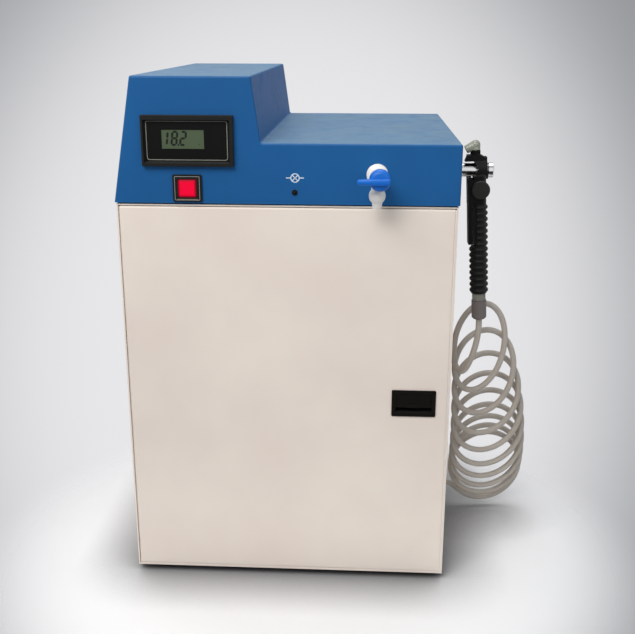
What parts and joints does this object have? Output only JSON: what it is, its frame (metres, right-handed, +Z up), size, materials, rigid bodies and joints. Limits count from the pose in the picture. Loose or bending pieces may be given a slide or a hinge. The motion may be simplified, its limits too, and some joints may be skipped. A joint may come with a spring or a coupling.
{
  "type": "ultrapure water system",
  "caption": "Bench water purifier: cream cabinet with front door, blue hood with meter tower, push button and tap, dispensing gun on a post with a spiral hose.",
  "frame": {"origin": "middle of the underside of the box round everything but the hose, at the height of the feet's soles", "axes": "+X to the right as seen from the front, +Y from the door towards the rear panel, +Z up"},
  "size_m": [0.482, 0.431, 0.5771],
  "materials": {
    "cabinet_paint": "satin cream powder coat",
    "hood_paint": "blue fine-textured powder coat",
    "panel_steel": "satin powder coat",
    "zinc_steel": "zinc plated",
    "seal_rubber": "matte",
    "foot_rubber": "matte",
    "black_plastic": "fine satin",
    "bezel_plastic": "soft gloss",
    "face_film": "printed film",
    "display": "liquid crystal",
    "switch_red": "lit lens",
    "lamp_lens": "dark lens",
    "tap_white": "moulded",
    "tap_blue": "moulded",
    "post_chrome": "polished",
    "gun_black": "satin",
    "grip_rubber": "ribbed",
    "nozzle_clear": "milky clear plastic",
    "fitting_grey": "grey",
    "hose_clear": "clear tube with a milky look",
    "cartridge_white": "moulded",
    "head_blue": "moulded",
    "stainless": "brushed",
    "quartz": "clear",
    "lamp_glass": "clear",
    "motor_paint": "semi gloss",
    "rotor_steel": "ground",
    "supply_case": "folded sheet",
    "brass": "plain",
    "nickel": "nickel plated",
    "clip_plastic": "natural"
  },
  "bodies": {
    "cabinet": {"base_tray": "cabinet_paint", "left_side_panel": "cabinet_paint", "right_side_panel": "cabinet_paint", "rear_panel": "cabinet_paint", "deck_plate": "cabinet_paint", "rubber_feet": "foot_rubber", "hood_shell": "hood_paint", "hood_seal": "seal_rubber", "case_screws": "nickel", "door_seal": "seal_rubber", "door_pivot_pins": "zinc_steel", "meter_bezel": "bezel_plastic", "meter_faceplate": "face_film", "meter_display": "display", "meter_housing": "black_plastic", "switch_bezel": "bezel_plastic", "switch_body": "black_plastic", "indicator_holder": "black_plastic", "indicator_lens": "lamp_lens", "tap_body": "tap_white", "panel_nuts": "zinc_steel", "holder_post": "post_chrome", "hose_gun_tail": "hose_clear", "hose_coil": "hose_clear", "hose_wall_tail": "hose_clear", "hose_port": "fitting_grey", "cartridge_rail": "zinc_steel", "cartridge_heads": "head_blue", "purification_cartridges": "cartridge_white", "uv_chamber": "stainless", "uv_end_caps": "black_plastic", "quartz_sleeve": "quartz", "uv_lamp": "lamp_glass", "tube_clips": "clip_plastic", "pump_motor": "motor_paint", "pump_head": "black_plastic", "final_filter": "cartridge_white", "resistivity_cell": "clip_plastic", "power_supply": "supply_case", "mains_inlet": "black_plastic", "inlet_pins": "brass", "bulkhead_fittings": "black_plastic"},
    "door": {"door_panel": "cabinet_paint", "door_bushes": "black_plastic", "latch_housing": "black_plastic"},
    "latch_paddle": {"latch_paddle": "black_plastic"},
    "latch_bolt": {"latch_bolt": "zinc_steel"},
    "switch_button": {"switch_button": "switch_red"},
    "tap_handle": {"tap_handle": "tap_blue", "tap_plug": "tap_white"},
    "gun": {"gun_body": "gun_black", "gun_grip_sleeve": "grip_rubber", "gun_pivot_bolt": "gun_black", "gun_collar": "gun_black", "gun_nozzle": "nozzle_clear", "gun_end_ring": "fitting_grey", "gun_hose_fitting": "fitting_grey"},
    "gun_trigger": {"gun_trigger": "gun_black"},
    "gun_valve_stem": {"gun_valve_stem": "nickel"},
    "pump_rotor": {"pump_rotor": "rotor_steel"}
  },
  "joints": [
    {"name": "door_hinge", "type": "hinge", "parent": "cabinet", "child": "door", "pos_m": [-0.191, -0.1616, 0.2265], "axis": [0, 0, -1], "range_deg": [0, 110]},
    {"name": "latch_paddle_hinge", "type": "hinge", "parent": "door", "child": "latch_paddle", "pos_m": [0.1194, -0.1638, 0.23255], "axis": [-1, 0, 0], "range_deg": [0, 35], "stiffness_Nm_per_rad": 0.02},
    {"name": "latch_bolt_slide", "type": "slide", "parent": "door", "child": "latch_bolt", "axis": [-1, 0, 0], "range_m": [0, 0.008]},
    {"name": "switch_button_slide", "type": "slide", "parent": "cabinet", "child": "switch_button", "axis": [0, 1, 0], "range_m": [0, 0.0035], "stiffness_N_per_m": 300},
    {"name": "tap_handle_turn", "type": "hinge", "parent": "cabinet", "child": "tap_handle", "pos_m": [0.074, -0.1965, 0.4785], "axis": [0, -1, 0], "range_deg": [0, 90]},
    {"name": "gun_lift", "type": "slide", "parent": "cabinet", "child": "gun", "axis": [0, 0, 1], "range_m": [0, 0.045], "deforming": ["hose_gun_tail"]},
    {"name": "gun_trigger_hinge", "type": "hinge", "parent": "gun", "child": "gun_trigger", "pos_m": [0.1876, -0.0825, 0.45454], "axis": [0, -1, 0], "range_deg": [0, 3.3], "stiffness_Nm_per_rad": 2},
    {"name": "gun_valve_stem_slide", "type": "slide", "parent": "gun", "child": "gun_valve_stem", "axis": [0.9982, 0, 0.0593], "range_m": [0, 0.0009]},
    {"name": "pump_rotor_spin", "type": "hinge", "parent": "cabinet", "child": "pump_rotor", "pos_m": [0.0485, 0.0955, 0.0475], "axis": [1, 0, 0], "continuous": true}
  ],
  "couplings": [
    {"joint": "latch_paddle_hinge", "follows": "latch_bolt_slide", "rad_per_m": 76.3},
    {"joint": "gun_valve_stem_slide", "follows": "gun_trigger_hinge", "m_per_rad": 0.0114}
  ]
}
